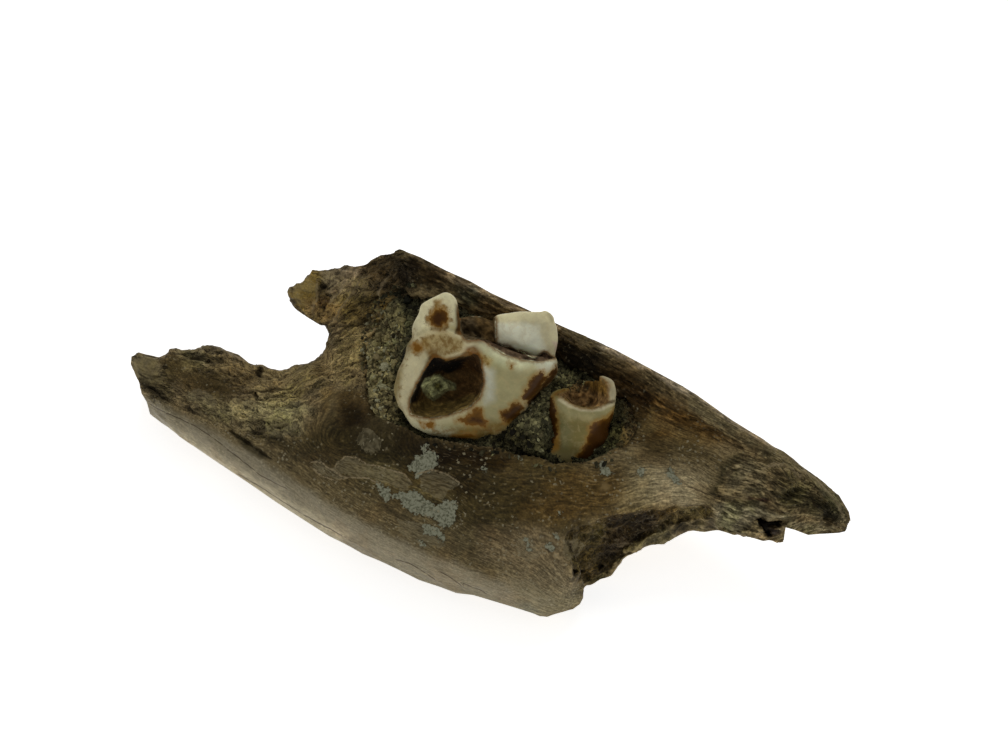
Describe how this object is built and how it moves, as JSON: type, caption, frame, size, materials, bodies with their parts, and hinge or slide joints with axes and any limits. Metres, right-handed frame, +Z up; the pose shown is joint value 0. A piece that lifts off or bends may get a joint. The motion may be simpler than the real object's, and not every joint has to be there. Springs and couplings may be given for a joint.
{
  "type": "fossil kangaroo jaw fragment with teeth",
  "caption": "Broken piece of a fossil kangaroo lower jaw holding a large molar, a small tooth and hardened sediment; it lies on a small flat spot of its underside.",
  "frame": {"origin": "bottom centre of the object's box, on the surface that it lies on", "axes": "+X along the jaw towards its pointed end, +Y towards the high rim, +Z up"},
  "size_m": [0.0614, 0.023, 0.0189],
  "materials": {
    "fossil_bone": "brown fossil bone, fibrous grain, smooth cortex and spongy broken ends",
    "molar_enamel": "glossy cream enamel with orange-brown stains and dark brown dentine",
    "small_tooth_enamel": "cream enamel with brown patches, worn at the rim",
    "hardened_sediment": "grey-green gritty sediment with pale rounded grains"
  },
  "bodies": {
    "root": {"jaw_bone": "fossil_bone", "molar": "molar_enamel", "small_tooth": "small_tooth_enamel", "sediment": "hardened_sediment"}
  },
  "joints": []
}
